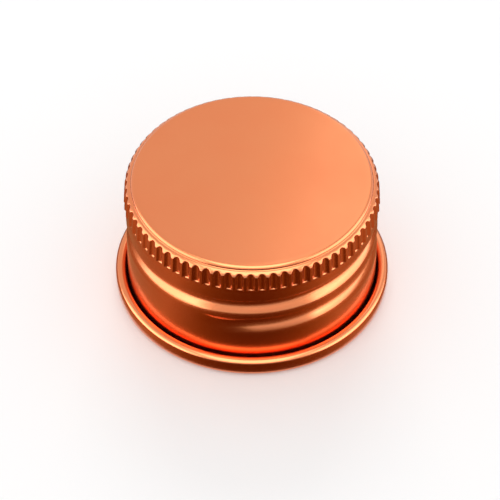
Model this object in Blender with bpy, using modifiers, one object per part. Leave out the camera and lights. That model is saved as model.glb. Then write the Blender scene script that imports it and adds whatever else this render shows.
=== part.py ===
"""A drawn aluminium screw cap with a knurled band, a rolled thread, a curled rim and a liner disc.

Sizes are in metres and +Z is up. The cap stands on its curled rim on z = 0, with its axis on Z.
Azimuths are measured from the front, -Y, towards +X.
"""

import math

import bmesh
import bpy
from mathutils import Matrix, Vector

# Driving dimensions of the sheet metal shell
CAP_HEIGHT = 0.01535
SHEET = 0.00025
SKIRT_RADIUS = 0.0140

# The flat top is a raised panel whose rounded edge stands inside a round shoulder
PANEL_STEP_IN = 0.00062
PANEL_EDGE_ROUND = 0.00042
SHOULDER_DROP = 0.00045
SHOULDER_WIDTH = 0.00075
SHOULDER_HEIGHT = 0.00080
SHOULDER_START_DEGREES = 64.0

# The knurled band: straight flutes with narrow flat lands between them, wider towards its foot
FLUTE_COUNT = 72
FLUTE_DEPTH = 0.00042
LAND_WIDTH = 0.00032
LAND_TAPER = 0.00010
FLOOR_WIDTH = 0.00022
ARCH_WIDTH = 0.00016
KNURL_RISE = 0.00018
KNURL_LENGTH = 0.00165
KNURL_FOOT = 0.00014
FLUTE_PHASE_DEGREES = 2.0

# The plain ring between the knurled band and the thread
NECK_DEPTH = 0.00004
NECK_LENGTH = 0.00089

# The thread is one helical groove, rolled inwards, right-handed
THREAD_LEAD = 0.0028
THREAD_TURNS = 1.36
THREAD_DEPTH = 0.00074
THREAD_END_AZIMUTH_DEGREES = 100.0
THREAD_RUN_OUT_DEGREES = 34.0
UPPER_FLANK = 0.00070
THREAD_FLOOR = 0.00025
LOWER_FLANK = 0.00195
THREAD_ROWS = 11

# The sheet turns in above the mouth, then curls outwards into a hollow bead
CREASE_DEPTH = 0.00005
CREASE_LENGTH = 0.00030
CURL_GAP = 0.00018
CURL_WIDTH = 0.00118
CURL_HEIGHT = 0.00220
CURL_REST_WIDTH = 0.00030
CURL_TUCK = 0.00055

# The liner disc lies under the top
LINER_THICKNESS = 0.0010
LINER_CLEARANCE = 0.00030

# One column of faces for each flute, and the steps of the small round edges
SEGMENTS = FLUTE_COUNT
EDGE_STEPS = 2
SHOULDER_STEPS = 2
ARCH_STEPS = 4
MERGE_DISTANCE = 0.00001
AUTO_SMOOTH = math.radians(38.0)

METAL_COLOUR = (0.86, 0.33, 0.14)
METAL_ROUGHNESS = 0.28
LINER_COLOUR = (0.86, 0.86, 0.84)
LINER_ROUGHNESS = 0.6

# Places worked out from the dimensions above
PANEL_RADIUS = SKIRT_RADIUS - PANEL_STEP_IN
KNURL_RADIUS = SKIRT_RADIUS + KNURL_RISE
SHOULDER_TOP = CAP_HEIGHT - SHOULDER_DROP
KNURL_TOP = SHOULDER_TOP - SHOULDER_HEIGHT
KNURL_BOTTOM = KNURL_TOP - KNURL_LENGTH
KNURL_FOOT_BOTTOM = KNURL_BOTTOM - KNURL_FOOT
THREAD_TOP = KNURL_FOOT_BOTTOM - NECK_LENGTH
THREAD_SECTION = UPPER_FLANK + THREAD_FLOOR + LOWER_FLANK
THREAD_BOTTOM = THREAD_TOP - THREAD_LEAD * THREAD_TURNS - THREAD_SECTION
CREASE_RADIUS = SKIRT_RADIUS - CREASE_DEPTH
CREASE_BOTTOM = CURL_HEIGHT - CREASE_LENGTH


def ease(share):
    """Rises from 0 to 1 with flat ends."""
    share = min(max(share, 0.0), 1.0)
    return share * share * (3.0 - 2.0 * share)


def arc(centre, half_width, half_height, start_degrees, end_degrees, steps):
    """Points (radius, height) along part of an ellipse, angles from the outward direction."""
    points = []
    for step in range(steps + 1):
        angle = math.radians(start_degrees + (end_degrees - start_degrees) * step / steps)
        points.append((centre[0] + half_width * math.cos(angle), centre[1] + half_height * math.sin(angle)))
    return points


def top_profile():
    """The flat top and its rounded edge, down to the level of the shoulder around it."""
    edge_centre = (PANEL_RADIUS - PANEL_EDGE_ROUND, SHOULDER_TOP)
    return [(0.0, CAP_HEIGHT)] + arc(edge_centre, PANEL_EDGE_ROUND, SHOULDER_DROP, 90, 0, EDGE_STEPS)


def shoulder_profile():
    """The round shoulder from the panel's edge out to the top of the lands."""
    centre = (KNURL_RADIUS - LAND_TAPER - SHOULDER_WIDTH, KNURL_TOP)
    return arc(centre, SHOULDER_WIDTH, SHOULDER_HEIGHT, SHOULDER_START_DEGREES, 0, SHOULDER_STEPS)


def knurl_profile():
    """The foot of the lands and the start of the plain ring under them."""
    return [(KNURL_RADIUS, KNURL_BOTTOM), (SKIRT_RADIUS - NECK_DEPTH, KNURL_FOOT_BOTTOM)]


def skirt_profile():
    """Even rows down the part of the skirt that the thread is rolled into, and the turned-in foot."""
    rows = []
    for row in range(THREAD_ROWS + 1):
        height = THREAD_TOP + (THREAD_BOTTOM - THREAD_TOP) * row / THREAD_ROWS
        rows.append((SKIRT_RADIUS, height))
    rows.append((SKIRT_RADIUS, CURL_HEIGHT))
    rows.append((CREASE_RADIUS, CREASE_BOTTOM))
    return rows


def curl_profile():
    """The curled bead: down, outwards along the flat rest, up, over and in towards the skirt.

    The profile is the face of the sheet that ends up inside the bead, so the bead's visible
    face lies one sheet thickness further out.
    """
    inner_limb = CREASE_RADIUS + CREASE_DEPTH + CURL_GAP
    outer_radius = inner_limb + CURL_WIDTH
    cavity_outer = outer_radius - SHEET
    cavity_inner = inner_limb + SHEET
    cavity_top = CURL_HEIGHT - SHEET
    corner = (outer_radius - CREASE_RADIUS + SHEET - CURL_REST_WIDTH) / 2
    foot_round = corner - SHEET
    arch = (cavity_outer - cavity_inner) / 2
    inner_corner = (CREASE_RADIUS + foot_round, corner)
    outer_corner = (cavity_outer - foot_round, corner)
    arch_centre = (cavity_inner + arch, cavity_top - arch)
    points = arc(inner_corner, foot_round, foot_round, 180, 270, EDGE_STEPS)
    points += arc(outer_corner, foot_round, foot_round, 270, 360, EDGE_STEPS)
    points += arc(arch_centre, arch, arch, 0, 180, ARCH_STEPS)
    points.append((cavity_inner, cavity_top - arch - CURL_TUCK))
    return points


def thread_depth(azimuth, height):
    """How far the rolled groove lies below the skirt, at an azimuth in degrees and a height."""
    deepest = 0.0
    start = THREAD_END_AZIMUTH_DEGREES - 360.0 * THREAD_TURNS
    for turn in range(-math.ceil(THREAD_TURNS) - 1, 2):
        along = azimuth + 360.0 * turn
        if not start < along < THREAD_END_AZIMUTH_DEGREES:
            continue
        lip = THREAD_TOP - THREAD_LEAD * (THREAD_END_AZIMUTH_DEGREES - along) / 360.0
        below_lip = lip - height
        section = ease(below_lip / UPPER_FLANK) * ease((THREAD_SECTION - below_lip) / LOWER_FLANK)
        from_end = min(along - start, THREAD_END_AZIMUTH_DEGREES - along)
        deepest = max(deepest, THREAD_DEPTH * section * ease(from_end / THREAD_RUN_OUT_DEGREES))
    return deepest


def press_thread(mesh):
    """Moves the skirt's points inwards along the helical groove."""
    for vertex in mesh.verts:
        radius = math.hypot(vertex.co.x, vertex.co.y)
        if not THREAD_BOTTOM <= vertex.co.z <= THREAD_TOP or radius < SKIRT_RADIUS - MERGE_DISTANCE:
            continue
        azimuth = math.degrees(math.atan2(vertex.co.x, -vertex.co.y))
        inner = radius - thread_depth(azimuth, vertex.co.z)
        vertex.co.x *= inner / radius
        vertex.co.y *= inner / radius


def flute_strips(mesh):
    """The faces of each flute before it is pressed: those of the shoulder and the band face below."""
    strips = {}
    shoulder_start = shoulder_profile()[0]
    for face in mesh.faces:
        centre = face.calc_center_median()
        radius = math.hypot(centre.x, centre.y)
        if KNURL_BOTTOM < centre.z < shoulder_start[1] and radius > shoulder_start[0]:
            strips.setdefault(round(math.atan2(centre.y, centre.x) * SEGMENTS / math.tau), []).append(face)
    return [faces for faces in strips.values() if len(faces) == SHOULDER_STEPS + 1]


def press_flutes(mesh):
    """Insets the faces of each flute, which leaves a land at each column, and pushes the middle in.

    The highest points stay on the shoulder, so each flute runs out there in a pointed arch.
    """
    for faces in flute_strips(mesh):
        bmesh.ops.inset_region(mesh, faces=faces, thickness=LAND_WIDTH / 2, use_even_offset=True)
        points = list({vertex for face in faces for vertex in face.verts})
        summit = max(vertex.co.z for vertex in points)
        middle = sum((vertex.co for vertex in points), Vector()) / len(points)
        outward = Vector((middle.x, middle.y, 0.0)).normalized()
        across = Vector((-outward.y, outward.x, 0.0))
        for vertex in points:
            side = math.copysign(1.0, vertex.co.dot(across))
            on_shoulder = vertex.co.z > summit - MERGE_DISTANCE
            half_width = ARCH_WIDTH / 2 if on_shoulder else FLOOR_WIDTH / 2
            radius = vertex.co.dot(outward) if on_shoulder else KNURL_RADIUS - FLUTE_DEPTH
            vertex.co = outward * radius + across * side * half_width + Vector((0.0, 0.0, vertex.co.z))


def material(name, colour, metallic, roughness):
    """A Principled material."""
    result = bpy.data.materials.new(name)
    result.use_nodes = True
    shader = result.node_tree.nodes["Principled BSDF"]
    shader.inputs["Base Color"].default_value = (*colour, 1.0)
    shader.inputs["Metallic"].default_value = metallic
    shader.inputs["Roughness"].default_value = roughness
    return result


def turned_mesh(name, profile, collection):
    """A surface of revolution about Z from a profile of (radius, height) points, top to bottom."""
    outline = bpy.data.meshes.new(name + "_profile")
    edges = [(index, index + 1) for index in range(len(profile) - 1)]
    outline.from_pydata([(radius, 0.0, height) for radius, height in profile], edges, [])
    turned = bpy.data.objects.new(name, outline)
    collection.objects.link(turned)
    screw = turned.modifiers.new("Turn", "SCREW")
    screw.axis = "Z"
    screw.angle = math.tau
    screw.steps = SEGMENTS
    screw.render_steps = SEGMENTS
    screw.use_merge_vertices = True
    screw.merge_threshold = MERGE_DISTANCE
    bpy.context.view_layer.update()
    evaluated = turned.evaluated_get(bpy.context.evaluated_depsgraph_get())
    mesh = bpy.data.meshes.new_from_object(evaluated)
    turned.modifiers.clear()
    turned.data = mesh
    bpy.data.meshes.remove(outline)
    return turned


def build_shell(collection):
    """The one-piece shell: turned, knurled and threaded as a skin, then given its sheet thickness."""
    profile = top_profile() + shoulder_profile() + knurl_profile() + skirt_profile() + curl_profile()
    shell = turned_mesh("cap_shell", profile, collection)
    mesh = bmesh.new()
    mesh.from_mesh(shell.data)
    turn = Matrix.Rotation(math.radians(FLUTE_PHASE_DEGREES), 4, "Z")
    bmesh.ops.rotate(mesh, verts=mesh.verts, cent=(0, 0, 0), matrix=turn)
    press_thread(mesh)
    press_flutes(mesh)
    mesh.to_mesh(shell.data)
    mesh.free()
    shell.data.shade_smooth()
    shell.data.set_sharp_from_angle(angle=AUTO_SMOOTH)
    wall = shell.modifiers.new("Sheet", "SOLIDIFY")
    wall.thickness = SHEET
    wall.offset = -1.0
    wall.use_even_offset = True
    wall.use_quality_normals = True
    shell.data.materials.append(material("anodised_aluminium", METAL_COLOUR, 1.0, METAL_ROUGHNESS))
    return shell


def build_liner(collection):
    """The plastic disc, clear of the top and of the panel's edge around it."""
    radius = PANEL_RADIUS - SHEET - LINER_CLEARANCE
    top = CAP_HEIGHT - SHEET - LINER_CLEARANCE
    bottom = top - LINER_THICKNESS
    profile = [(0.0, top), (radius, top), (radius, bottom), (0.0, bottom)]
    liner = turned_mesh("sealing_liner", profile, collection)
    liner.data.shade_smooth()
    liner.data.set_sharp_from_angle(angle=AUTO_SMOOTH)
    liner.data.materials.append(material("liner_plastic", LINER_COLOUR, 0.0, LINER_ROUGHNESS))
    return liner


def main():
    for existing in list(bpy.data.objects):
        bpy.data.objects.remove(existing, do_unlink=True)
    collection = bpy.data.collections.new("metal_screw_cap")
    bpy.context.scene.collection.children.link(collection)
    build_shell(collection)
    build_liner(collection)


main()
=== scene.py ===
import math

import bmesh
import bpy
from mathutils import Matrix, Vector


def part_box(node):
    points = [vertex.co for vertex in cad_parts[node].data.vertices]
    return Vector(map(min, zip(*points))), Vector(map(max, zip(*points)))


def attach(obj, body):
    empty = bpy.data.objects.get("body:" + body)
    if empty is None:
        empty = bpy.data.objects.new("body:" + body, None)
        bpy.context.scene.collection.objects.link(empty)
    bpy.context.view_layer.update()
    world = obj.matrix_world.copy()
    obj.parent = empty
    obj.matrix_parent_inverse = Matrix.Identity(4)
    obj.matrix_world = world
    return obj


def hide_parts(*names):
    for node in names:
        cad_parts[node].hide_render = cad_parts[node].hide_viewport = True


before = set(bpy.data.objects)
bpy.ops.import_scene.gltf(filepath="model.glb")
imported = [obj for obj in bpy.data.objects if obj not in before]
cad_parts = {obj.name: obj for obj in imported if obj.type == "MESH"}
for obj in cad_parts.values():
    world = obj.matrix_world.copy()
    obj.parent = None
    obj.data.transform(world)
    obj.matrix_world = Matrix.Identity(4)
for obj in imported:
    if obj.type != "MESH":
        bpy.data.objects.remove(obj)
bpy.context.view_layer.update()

mm = 0.001
shellLow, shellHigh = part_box("cap_shell")
linerLow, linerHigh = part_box("sealing_liner")
capTop = shellHigh.z
rimRadius = (shellHigh.x - shellLow.x) / 2  # the curled rim is the widest part

# Azimuths are in degrees from the front, -Y, towards +X

shellSizes = {
    "sheet": 0.25 * mm,
    "skirtRadius": 14.0 * mm,
    "panelRadius": 13.38 * mm,  # the raised flat top
    "panelRound": 0.42 * mm,
    "edgeGap": 0.02 * mm,
    "shoulderDrop": 0.45 * mm,  # heights with drop in the name are below the top
    "shoulderWidth": 0.75 * mm,  # the round shoulder between the panel and the lands
    "shoulderHeight": 0.80 * mm,
    "landTopRadius": 14.08 * mm,
    "landRadius": 14.18 * mm,  # the knurl is a little wider at its foot
    "knurlFootDrop": 2.97 * mm,
    "neckRadius": 13.96 * mm,
    "neckTopDrop": 3.02 * mm,
    "neckBottomDrop": 3.44 * mm,
    "bandTopDrop": 3.66 * mm,
    "ledgeRound": 0.02 * mm,  # the ledge at the knurl's foot is crisp
    "bendRound": 0.10 * mm,
    "foldRound": 0.15 * mm,
    "foldTop": 2.20 * mm,  # where the skirt turns in behind the curl, from the ground
    "foldBottom": 1.90 * mm,
    "foldRadius": 13.95 * mm,
    "curlHeight": 2.20 * mm,
    "curlGap": 0.18 * mm,
    "curlRest": 0.30 * mm,
    "curlTuck": 0.55 * mm,
    "insideLag": 0.06 * mm,  # the sheet's inside bends this much lower than its outside
    "insideFootLag": 0.04 * mm,
    "insideRound": 0.06 * mm,
    "insidePanelRound": 0.16 * mm,
    "columns": 9,  # columns of faces for each flute
    "rowHeight": 0.42 * mm,
    "insideRowHeight": 1.10 * mm,
    "weld": 0.01 * mm,
}

knurlSizes = {
    "count": 72,
    "firstLand": 2.0,  # azimuth of a land's middle
    "depth": 0.43 * mm,
    "footDepth": 0.36 * mm,
    "taper": 2.3 * mm,  # height over which the flutes get shallower towards their foot
    "insideExtra": 0.03 * mm,  # the flutes are this much deeper on the sheet's inside
    "places": (0.48, 0.68, 1.00, 1.70, 2.50),  # degrees from a land's middle to each column
    "shares": (0.0, 0.06, 0.54, 0.90, 1.0),  # depth of the round flute at each of them
}

threadSizes = {
    "lead": 2.80 * mm,
    "turns": 1.36,
    "depth": 0.74 * mm,
    "lipDrop": 4.71 * mm,  # the groove's upper lip at the front
    "endAzimuth": 100.0,
    "runOut": 34.0,  # degrees over which each end gets shallower
    "upperFlank": 0.70 * mm,
    "upperFullness": 1.7,  # 1 would be a straight slope
    "floor": 0.25 * mm,
    "lowerFlank": 1.70 * mm,
    "sharedFlank": 1.45 * mm,  # the lower flank where the next turn lies below it
    "lipWidth": 0.05 * mm,
    "followed": 140.0,  # the rows of faces follow the lip up to this azimuth on both sides
    "joining": 1.1 * mm,  # and are level again this far above and below the groove
    "margin": 0.1 * mm,  # the groove keeps this clear of the bends above and below
}


def ease(share):
    share = min(max(share, 0.0), 1.0)
    return share * share * (3 - 2 * share)


def mix(start, end, share):
    return start + (end - start) * share


def azimuthOf(point):
    return math.degrees(math.atan2(point.x, -point.y))


def placeAt(radius, azimuth, height):
    angle = math.radians(azimuth)
    return Vector((radius * math.sin(angle), -radius * math.cos(angle), height))


def rawEdgeHeight(s):
    # the sheet ends inside the curl, this high above the ground
    return s["curlHeight"] - (rimRadius - s["skirtRadius"] - s["curlGap"]) / 2 - s["curlTuck"]


def shoulderStations(s, inset, steps):
    # a quarter of an ellipse from the foot of the panel's edge out to the top of the lands
    middle = s["landTopRadius"] - s["shoulderWidth"]
    foot = capTop - s["shoulderDrop"] - s["shoulderHeight"]
    first = math.acos((s["panelRadius"] + s["edgeGap"] - middle) / s["shoulderWidth"])
    stations = []
    for step in range(steps + 1):
        angle = first * (1 - step / steps)
        radius = middle + (s["shoulderWidth"] - inset) * math.cos(angle)
        height = foot + (s["shoulderHeight"] - inset) * math.sin(angle)
        stations.append((radius, height, 0, 0))
    return stations


def outsideStations(s, t):
    # (radius, height, round, steps) of each corner on the sheet's outside, from the middle
    # of the top, down the skirt and round inside the hollow curl to the sheet's raw edge
    cavityOuter = rimRadius - s["sheet"]
    cavityInner = s["skirtRadius"] + s["curlGap"] + s["sheet"]
    cavityTop = s["curlHeight"] - s["sheet"]
    arch = (cavityOuter - cavityInner) / 2 - s["weld"]
    footRound = (cavityOuter - s["foldRadius"] - s["curlRest"]) / 2
    stations = [
        (0.0, capTop, 0, 0),
        (s["panelRadius"] - 2 * s["panelRound"], capTop, 0, 0),
        (s["panelRadius"], capTop, s["panelRound"], 7),
    ]
    stations += shoulderStations(s, 0.0, 11)
    stations += [
        (s["landRadius"], capTop - s["knurlFootDrop"], s["ledgeRound"], 2),
        (s["neckRadius"], capTop - s["neckTopDrop"], s["ledgeRound"], 2),
        (s["neckRadius"], capTop - s["neckBottomDrop"], s["bendRound"], 2),
        (s["skirtRadius"], capTop - s["bandTopDrop"], s["bendRound"], 2),
    ]
    for lip in (capTop - t["lipDrop"], capTop - t["lipDrop"] - t["lead"]):
        for side in (1, 0, -1):
            stations.append((s["skirtRadius"], lip + side * t["lipWidth"], 0, 0))
    stations += [
        (s["skirtRadius"], s["foldTop"], s["foldRound"], 3),
        (s["foldRadius"], s["foldBottom"], s["bendRound"], 2),
        (s["foldRadius"], s["sheet"], footRound, 2),
        (cavityOuter, s["sheet"], footRound, 2),
        (cavityOuter, cavityTop, arch, 3),
        (cavityInner, cavityTop, arch, 3),
        (cavityInner, rawEdgeHeight(s), 0, 0),
    ]
    return stations


def insideStations(s):
    # the sheet's other face, from the raw edge over the outside of the curl and up inside the cap
    sheet = s["sheet"]
    limb = s["skirtRadius"] + s["curlGap"]
    arch = (rimRadius - limb) / 2 - s["weld"]
    footRound = (rimRadius - s["foldRadius"] + sheet - s["curlRest"]) / 2
    rawEdge = rawEdgeHeight(s)
    bandTop = capTop - s["bandTopDrop"] - s["insideLag"]
    neckBottom = capTop - s["neckBottomDrop"]
    neckTop = capTop - s["neckTopDrop"] - s["insideLag"]
    knurlFoot = capTop - s["knurlFootDrop"] - s["insideFootLag"]
    stations = [
        (limb + sheet, rawEdge, 0, 0),
        (limb, rawEdge, 0, 0),
        (limb, s["curlHeight"], arch, 7),
        (rimRadius, s["curlHeight"], arch, 7),
        (rimRadius, 0.0, footRound, 5),
        (s["foldRadius"] - sheet, 0.0, footRound, 4),
        (s["foldRadius"] - sheet, s["foldBottom"], s["bendRound"], 2),
        (s["skirtRadius"] - sheet, s["foldTop"], s["bendRound"], 2),
        (s["skirtRadius"] - sheet, bandTop, s["bendRound"], 2),
        (s["neckRadius"] - sheet, neckBottom, s["bendRound"], 1),
        (s["neckRadius"] - sheet, neckTop, s["insideRound"], 1),
        (s["landRadius"] - sheet, knurlFoot, s["insideRound"], 1),
    ]
    stations += reversed(shoulderStations(s, sheet, 5))
    stations += [
        (s["panelRadius"] - sheet, capTop - sheet, s["insidePanelRound"], 2),
        (0.0, capTop - sheet, 0, 0),
    ]
    return stations


def wireFrom(mesh, stations, azimuth):
    # a line of edges through the stations, with their corners rounded
    corners = [
        mesh.verts.new(placeAt(radius, azimuth, height)) for radius, height, _, _ in stations
    ]
    for upper, lower in zip(corners, corners[1:]):
        mesh.edges.new((upper, lower))
    for corner, (_, _, size, steps) in zip(corners, stations):
        if size:
            bmesh.ops.bevel(
                mesh, geom=[corner], offset=size, offset_type="OFFSET", segments=steps,
                profile=0.5, affect="VERTICES", material=-1,
            )


def cutRows(mesh, edges, height, outside):
    # cuts the long upright stretches into rows of one height
    for edge in edges:
        cuts = int(edge.calc_length() / height)
        if cuts and min(math.hypot(end.co.x, end.co.y) for end in edge.verts) > outside:
            bmesh.ops.subdivide_edges(mesh, edges=[edge], cuts=cuts)


def threadDepth(azimuth, height, t):
    deepest = 0.0
    start = t["endAzimuth"] - 360 * t["turns"]
    for turn in (-2, -1, 0, 1):
        along = azimuth + 360 * turn
        if not start < along < t["endAzimuth"]:
            continue
        below = capTop - t["lipDrop"] + t["lead"] * along / 360 - height
        flank = mix(t["lowerFlank"], t["sharedFlank"], ease((along - 360 - start) / t["runOut"]))
        section = t["upperFlank"] + t["floor"] + flank
        if not 0 < below < section:
            continue
        upper = 1 - (1 - min(below / t["upperFlank"], 1)) ** t["upperFullness"]
        lower = ease((section - below) / flank)
        fromEnd = min(along - start, t["endAzimuth"] - along)
        deepest = max(deepest, t["depth"] * upper * lower * ease(fromEnd / t["runOut"]))
    return deepest


def followLip(azimuth, t):
    # how many leads a row of faces rises or falls at an azimuth
    side = math.copysign(1.0, azimuth)
    most = t["followed"] / 360
    if abs(azimuth) <= t["followed"]:
        return azimuth / 360
    return side * most * (1 - ease((abs(azimuth) - t["followed"]) / (180 - t["followed"])))


def pressThread(points, wall, s, t):
    bandTop = capTop - s["bandTopDrop"] - t["margin"]
    bandBottom = s["foldTop"] + t["margin"]
    for point in points:
        radius = math.hypot(point.co.x, point.co.y)
        if not bandBottom < point.co.z < bandTop or abs(radius - wall) > s["weld"]:
            continue
        azimuth = azimuthOf(point.co)
        clear = min(bandTop - point.co.z, point.co.z - bandBottom)
        share = min(1.0, clear / t["joining"])
        height = point.co.z + t["lead"] * followLip(azimuth, t) * share
        point.co = placeAt(radius - threadDepth(azimuth, height, t), azimuth, height)


def fluteColumn(azimuth, k, columns):
    # a column's own azimuth beside its land, and its share of the flute's depth
    pitch = 360 / k["count"]
    turn = (azimuth - k["firstLand"]) / pitch
    land = round(turn)
    column = min(int(abs(turn - land) * columns), len(k["places"]) - 1)
    side = math.copysign(1.0, turn - land)
    return k["firstLand"] + land * pitch + side * k["places"][column], k["shares"][column]


def pressFlutes(points, landRadius, deepen, s, k):
    footTop = capTop - s["knurlFootDrop"]
    footBottom = capTop - s["neckTopDrop"]
    neckDepth = s["landRadius"] - s["neckRadius"]
    for point in points:
        radius = math.hypot(point.co.x, point.co.y)
        if radius < s["weld"]:
            continue
        azimuth, share = fluteColumn(azimuthOf(point.co), k, s["columns"])
        height = point.co.z
        if footBottom < height < capTop - s["shoulderDrop"]:
            depth = mix(k["footDepth"], k["depth"], ease((height - footTop) / k["taper"])) + deepen
            depth = mix(neckDepth, depth, ease((height - footBottom) / (footTop - footBottom)))
            # on the shoulder each flute runs out in an arch
            radius = min(radius, landRadius - depth * share)
        point.co = placeAt(radius, azimuth, height)


def linkObject(name, data):
    made = bpy.data.objects.new(name, data)
    bpy.context.scene.collection.objects.link(made)
    return made


def meshObject(name, mesh, material):
    data = bpy.data.meshes.new(name)
    mesh.to_mesh(data)
    mesh.free()
    data.materials.append(material)
    return linkObject(name, data)


def aimAway(made, back):
    # the object looks along its own -Z, away from the direction back
    made.rotation_mode = "QUATERNION"
    made.rotation_quaternion = (-back).to_track_quat("-Z", "Y")


def spinRound(mesh, geometry, steps):
    bmesh.ops.spin(
        mesh, geom=geometry, cent=(0, 0, 0), axis=(0, 0, 1), dvec=(0, 0, 0),
        angle=math.tau, steps=steps, use_merge=True, use_duplicate=False,
    )


def finishPiece(name, mesh, material, node):
    piece = meshObject(name, mesh, material)
    piece.data.shade_smooth()
    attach(piece, "root")
    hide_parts(node)
    return piece


def turnSkin(stations, rowHeight, outside):
    # turns a line of stations about Z into a skin, in a mesh of its own
    k = knurlSizes
    columns = k["count"] * shellSizes["columns"]
    mesh = bmesh.new()
    wireFrom(mesh, stations, k["firstLand"] + 180 / columns)
    cutRows(mesh, mesh.edges[:], rowHeight, outside)
    spinRound(mesh, mesh.verts[:] + mesh.edges[:], columns)
    bmesh.ops.remove_doubles(mesh, verts=mesh.verts, dist=shellSizes["weld"] / 2)
    return mesh


def buildShell(material):
    s = shellSizes
    k = knurlSizes
    t = threadSizes
    sheet = s["sheet"]
    upright = s["panelRadius"] - s["weld"]  # what lies farther out than this is cut into rows
    mesh = turnSkin(outsideStations(s, t), s["rowHeight"], upright)
    pressFlutes(mesh.verts, s["landRadius"], 0.0, s, k)
    pressThread(mesh.verts, s["skirtRadius"], s, t)
    print("shell: outside turned and pressed")
    inside = turnSkin(insideStations(s), s["insideRowHeight"], upright - sheet)
    pressFlutes(inside.verts, s["landRadius"] - sheet, k["insideExtra"], s, k)
    pressThread(inside.verts, s["skirtRadius"] - sheet, s, t)
    lining = bpy.data.meshes.new("lining")
    inside.to_mesh(lining)
    inside.free()
    mesh.from_mesh(lining)
    bpy.data.meshes.remove(lining)
    # joins the two skins at the raw edge
    bmesh.ops.remove_doubles(mesh, verts=mesh.verts, dist=s["weld"] / 2)
    print("shell:", sum(edge.is_boundary for edge in mesh.edges), "open edges")
    bmesh.ops.recalc_face_normals(mesh, faces=mesh.faces)
    shell = finishPiece("drawn_shell", mesh, material, "cap_shell")
    print("shell:", len(shell.data.polygons), "faces")


linerSizes = {
    "edgeRound": 0.12 * mm,
    "edgeSteps": 4,
    "markInner": 0.78,  # shares of the radius where the bottle's lip has pressed a shallow ring
    "markOuter": 0.94,
    "markDepth": 0.06 * mm,
    "markSlope": 0.15 * mm,
    "middle": 0.5,  # share of the radius that one more ring of faces crosses
    "segments": 160,
}


def buildLiner(material):
    n = linerSizes
    radius = (linerHigh.x - linerLow.x) / 2
    mesh = bmesh.new()
    disc = bmesh.ops.create_circle(mesh, cap_ends=True, radius=radius, segments=n["segments"])
    bmesh.ops.translate(mesh, verts=disc["verts"], vec=(0, 0, linerLow.z))
    underside = mesh.faces[:]
    wall = bmesh.ops.extrude_face_region(mesh, geom=underside, use_keep_orig=True)
    raised = [part for part in wall["geom"] if isinstance(part, bmesh.types.BMVert)]
    bmesh.ops.translate(mesh, verts=raised, vec=(0, 0, linerHigh.z - linerLow.z))
    bmesh.ops.recalc_face_normals(mesh, faces=mesh.faces)
    rims = [edge for edge in mesh.edges if edge.verts[0].co.z == edge.verts[1].co.z]
    bmesh.ops.bevel(
        mesh, geom=rims, offset=n["edgeRound"], offset_type="OFFSET", segments=n["edgeSteps"],
        profile=0.5, affect="EDGES", material=-1,
    )
    lowest = min(mesh.faces, key=lambda face: face.calc_center_median().z)
    rings = (  # width and rise of each, from the edge inwards
        (radius * (1 - n["markOuter"]) - n["edgeRound"], 0),
        (n["markSlope"], n["markDepth"]),
        (radius * (n["markOuter"] - n["markInner"]), 0),
        (n["markSlope"], -n["markDepth"]),
        (radius * n["middle"], 0),
    )
    for width, rise in rings:
        bmesh.ops.inset_region(mesh, faces=[lowest], thickness=width, depth=0)
        bmesh.ops.translate(mesh, verts=lowest.verts, vec=(0, 0, rise))
    liner = finishPiece("liner_disc", mesh, material, "sealing_liner")
    print("liner:", len(liner.data.polygons), "faces")


def newMaterial(name):
    material = bpy.data.materials.new(name)
    material.use_nodes = True
    return material, material.node_tree.nodes, material.node_tree.links


def noiseOn(nodes, links, source, scale, detail, stretch=(1, 1, 1)):
    mapping = nodes.new("ShaderNodeMapping")
    mapping.inputs["Scale"].default_value = stretch
    noise = nodes.new("ShaderNodeTexNoise")
    noise.inputs["Scale"].default_value = scale
    noise.inputs["Detail"].default_value = detail
    links.new(source, mapping.inputs["Vector"])
    links.new(mapping.outputs["Vector"], noise.inputs["Vector"])
    return noise.outputs["Fac"]


noiseSpan = (0.3, 0.7)  # where nearly all of a noise's values lie


def ranged(nodes, links, source, low, high):
    spread = nodes.new("ShaderNodeMapRange")
    spread.inputs["From Min"].default_value = noiseSpan[0]
    spread.inputs["From Max"].default_value = noiseSpan[1]
    spread.inputs["To Min"].default_value = low
    spread.inputs["To Max"].default_value = high
    links.new(source, spread.inputs["Value"])
    return spread.outputs["Result"]


def tintFrom(nodes, links, source, first, second):
    tint = nodes.new("ShaderNodeMix")
    tint.data_type = "RGBA"
    share, firstColour, secondColour = tint.inputs[0], tint.inputs[6], tint.inputs[7]
    firstColour.default_value = (*first, 1)
    secondColour.default_value = (*second, 1)
    links.new(ranged(nodes, links, source, 0, 1), share)
    links.new(tint.outputs[2], nodes["Principled BSDF"].inputs["Base Color"])


def bumpFrom(nodes, links, source, height):
    bump = nodes.new("ShaderNodeBump")
    bump.inputs["Strength"].default_value = 1.0
    bump.inputs["Distance"].default_value = height
    links.new(source, bump.inputs["Height"])
    links.new(bump.outputs["Normal"], nodes["Principled BSDF"].inputs["Normal"])


copper = {
    "colour": (0.86, 0.255, 0.088),
    "deeper": (0.84, 0.235, 0.078),
    "roughness": (0.21, 0.25),
    "cloudScale": 170,  # soft clouds a few millimetres wide in the satin coat
    "grainScale": 2600,
    "grainStretch": (1.0, 0.12, 1.0),  # the rolled sheet's grain runs along Y
    "grainHeight": 0.0012 * mm,
    "coat": 0.7,
    "coatRoughness": 0.15,
}


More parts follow.
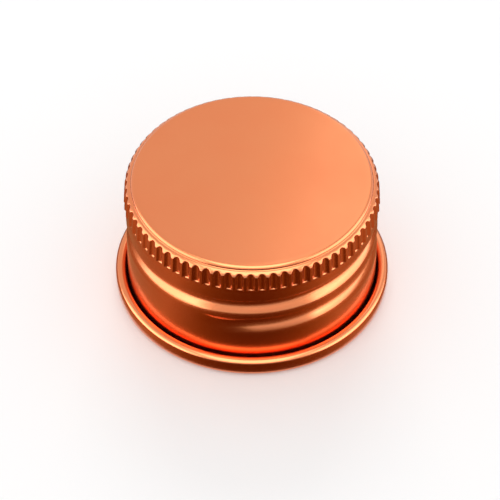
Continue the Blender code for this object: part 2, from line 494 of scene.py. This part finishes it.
def copperLacquer():
    c = copper
    material, nodes, links = newMaterial("copper_lacquer_on_aluminium")
    shader = nodes["Principled BSDF"]
    shader.inputs["Metallic"].default_value = 1.0
    shader.inputs["Coat Weight"].default_value = c["coat"]
    shader.inputs["Coat Roughness"].default_value = c["coatRoughness"]
    place = nodes.new("ShaderNodeTexCoord").outputs["Object"]
    clouds = noiseOn(nodes, links, place, c["cloudScale"], 3)
    grain = noiseOn(nodes, links, place, c["grainScale"], 2, c["grainStretch"])
    tintFrom(nodes, links, clouds, c["colour"], c["deeper"])
    links.new(ranged(nodes, links, clouds, *c["roughness"]), shader.inputs["Roughness"])
    bumpFrom(nodes, links, grain, c["grainHeight"])
    return material


linerFinish = {
    "colour": (0.80, 0.80, 0.77),
    "shade": (0.70, 0.70, 0.66),
    "cellScale": 3500,
    "cellHeight": 0.02 * mm,
    "roughness": (0.55, 0.75),
}


def linerMaterial():
    f = linerFinish
    material, nodes, links = newMaterial("liner_plastic")
    shader = nodes["Principled BSDF"]
    place = nodes.new("ShaderNodeTexCoord").outputs["Object"]
    cells = noiseOn(nodes, links, place, f["cellScale"], 3)
    tintFrom(nodes, links, cells, f["colour"], f["shade"])
    links.new(ranged(nodes, links, cells, *f["roughness"]), shader.inputs["Roughness"])
    bumpFrom(nodes, links, cells, f["cellHeight"])
    return material


view = {
    "elevation": 46.45,
    "distance": 371.25 * mm,
    "lens": 237.6,
    "sensor": 36,
    "seen": (0.01, 20),  # nearest and farthest
    "targetHeight": capTop - 11.32 * mm,
    "targetSide": -0.21 * mm,
}


def buildCamera():
    v = view
    data = bpy.data.cameras.new("camera")
    data.lens = v["lens"]
    data.sensor_width = v["sensor"]
    data.clip_start, data.clip_end = v["seen"]
    camera = linkObject("camera", data)
    angle = math.radians(v["elevation"])
    back = Vector((0, -math.cos(angle), math.sin(angle)))
    camera.location = Vector((v["targetSide"], 0, v["targetHeight"])) + back * v["distance"]
    aimAway(camera, back)
    bpy.context.scene.camera = camera


studio = {
    "floorSize": 4.0,
    "floorColour": (0.84, 0.84, 0.84),
    "floorRoughness": 0.9,
    "floorSpecular": 0.2,
    "floorShown": 0.12,  # added to the floor for the camera and the metal
    "skyShown": 0.88,  # what the camera and the metal see
    "skyLight": 0.95,  # what lights the floor and the liner
}

# azimuth, elevation, distance, width, height, brightness, what it lights
lamps = {
    "overhead": (0, 62, 0.50, 0.46, 0.56, 2.1, "metal"),
    "left": (-75, 26, 0.60, 0.70, 0.40, 1.8, "metal"),
    "leftStrip": (-72, 8, 0.080, 0.120, 0.022, 1.9, "metal"),
    "right": (78, 26, 0.60, 0.70, 0.40, 1.8, "metal"),
    "rightStrip": (80, 8, 0.080, 0.110, 0.022, 1.5, "metal"),
    "backRight": (157, 46, 0.125, 0.050, 0.12, 0.5, "metal"),
    "behind": (180, 32, 0.80, 0.42, 0.30, 3.5, "floor"),
}

# a brown sheet round the cap that only the metal reflects: it glows as a painted reflection,
# painted dark shade in front of the cap and lighter towards its sides
paintedReflectionTray = {
    "near": 15.7 * mm,
    "far": 60 * mm,
    "nearRise": 0.1 * mm,
    "frontRise": 12.0 * mm,  # of its outer edge
    "sideRise": 1.0 * mm,
    "narrowing": 3,  # the higher, the narrower the raised front
    "segments": 96,
    # the glowing colours of the painted reflection: painted shade in front, lighter at the sides
    "colours": (
        (0.00, (0.11, 0.028, 0.002)),  # from the front round to the back
        (0.06, (0.20, 0.065, 0.012)),
        (0.20, (0.46, 0.200, 0.080)),
        (0.60, (0.40, 0.160, 0.060)),
        (0.90, (0.16, 0.060, 0.020)),
    ),
}


def seenRays(nodes, links):
    # 1 for what the camera sees, straight or by way of metal and glass
    rays = nodes.new("ShaderNodeLightPath")
    seen = rays.outputs["Is Camera Ray"]
    for name in ("Is Glossy Ray", "Is Transmission Ray"):
        either = nodes.new("ShaderNodeMath")
        either.operation = "MAXIMUM"
        links.new(seen, either.inputs[0])
        links.new(rays.outputs[name], either.inputs[1])
        seen = either.outputs[0]
    return seen


def buildFloor():
    material, nodes, links = newMaterial("pale_floor")
    shader = nodes["Principled BSDF"]
    shader.inputs["Base Color"].default_value = (*studio["floorColour"], 1)
    shader.inputs["Roughness"].default_value = studio["floorRoughness"]
    shader.inputs["Specular IOR Level"].default_value = studio["floorSpecular"]
    shader.inputs["Emission Color"].default_value = (1, 1, 1, 1)
    whiten = nodes.new("ShaderNodeMath")
    whiten.operation = "MULTIPLY"
    whiten.inputs[1].default_value = studio["floorShown"]
    links.new(seenRays(nodes, links), whiten.inputs[0])
    links.new(whiten.outputs[0], shader.inputs["Emission Strength"])
    mesh = bmesh.new()
    bmesh.ops.create_grid(mesh, x_segments=1, y_segments=1, size=studio["floorSize"] / 2)
    meshObject("floor", mesh, material)


def buildSky():
    world = bpy.data.worlds.new("studio")
    bpy.context.scene.world = world
    world.use_nodes = True
    nodes, links = world.node_tree.nodes, world.node_tree.links
    strength = nodes.new("ShaderNodeMapRange")
    strength.inputs["To Min"].default_value = studio["skyLight"]
    strength.inputs["To Max"].default_value = studio["skyShown"]
    links.new(seenRays(nodes, links), strength.inputs["Value"])
    links.new(strength.outputs["Result"], nodes["Background"].inputs["Strength"])
    nodes["Background"].inputs["Color"].default_value = (1, 1, 1, 1)


def buildLamp(name, values):
    azimuth, elevation, distance, width, height, brightness, lights = values
    data = bpy.data.lights.new(name, "AREA")
    data.shape = "RECTANGLE"
    data.size = width
    data.size_y = height
    data.energy = brightness * math.pi * width * height  # watts for a brightness of 1 on its face
    lamp = linkObject(name, data)
    aside = math.cos(math.radians(elevation)) * distance
    lamp.location = placeAt(aside, azimuth, math.sin(math.radians(elevation)) * distance)
    aimAway(lamp, lamp.location)
    lamp.visible_glossy = lights == "metal"
    lamp.visible_diffuse = lights == "floor"


def paintedReflectionMaterial():
    material, nodes, links = newMaterial("painted_reflection_tray")
    shader = nodes["Principled BSDF"]
    shader.inputs["Base Color"].default_value = (0, 0, 0, 1)
    shader.inputs["Specular IOR Level"].default_value = 0
    # the sheet glows though it is no lamp: a painted reflection of shade for the metal
    shader.inputs["Emission Strength"].default_value = 1
    place = nodes.new("ShaderNodeTexCoord").outputs["Object"]
    direction = nodes.new("ShaderNodeVectorMath")
    direction.operation = "NORMALIZE"
    axes = nodes.new("ShaderNodeSeparateXYZ")
    backward = nodes.new("ShaderNodeMapRange")
    backward.inputs["From Min"].default_value = -1
    ramp = nodes.new("ShaderNodeValToRGB")
    stops = ramp.color_ramp.elements
    while len(stops) < len(paintedReflectionTray["colours"]):
        stops.new(0.5)
    for stop, (position, colour) in zip(stops, paintedReflectionTray["colours"]):
        stop.position = position
        stop.color = (*colour, 1)
    links.new(place, direction.inputs[0])
    links.new(direction.outputs["Vector"], axes.inputs[0])
    links.new(axes.outputs["Y"], backward.inputs["Value"])
    links.new(backward.outputs["Result"], ramp.inputs["Fac"])
    links.new(ramp.outputs["Color"], shader.inputs["Emission Color"])
    return material


def buildPaintedReflectionTray():
    mesh = bmesh.new()
    near = mesh.verts.new((0, -paintedReflectionTray["near"], paintedReflectionTray["nearRise"]))
    far = mesh.verts.new((0, -paintedReflectionTray["far"], paintedReflectionTray["nearRise"]))
    spinRound(mesh, [near, far, mesh.edges.new((near, far))], paintedReflectionTray["segments"])
    for corner in mesh.verts:
        if math.hypot(corner.co.x, corner.co.y) > paintedReflectionTray["far"] / 2:
            facing = max(0.0, -corner.co.y / paintedReflectionTray["far"])
            corner.co.z = mix(paintedReflectionTray["sideRise"], paintedReflectionTray["frontRise"], facing ** paintedReflectionTray["narrowing"])
    piece = meshObject("paintedReflectionTray", mesh, paintedReflectionMaterial())
    # hidden from the camera, from diffuse light and from shadows, so that it only paints a
    # reflection of shade into the metal
    piece.visible_camera = False
    piece.visible_diffuse = False
    piece.visible_shadow = False


buildShell(copperLacquer())
buildLiner(linerMaterial())
print("cap: made")
buildCamera()
buildFloor()
buildSky()
for lampName, lampValues in lamps.items():
    buildLamp(lampName, lampValues)
buildPaintedReflectionTray()
bpy.context.scene.view_settings.view_transform = "Standard"
print("studio: made")
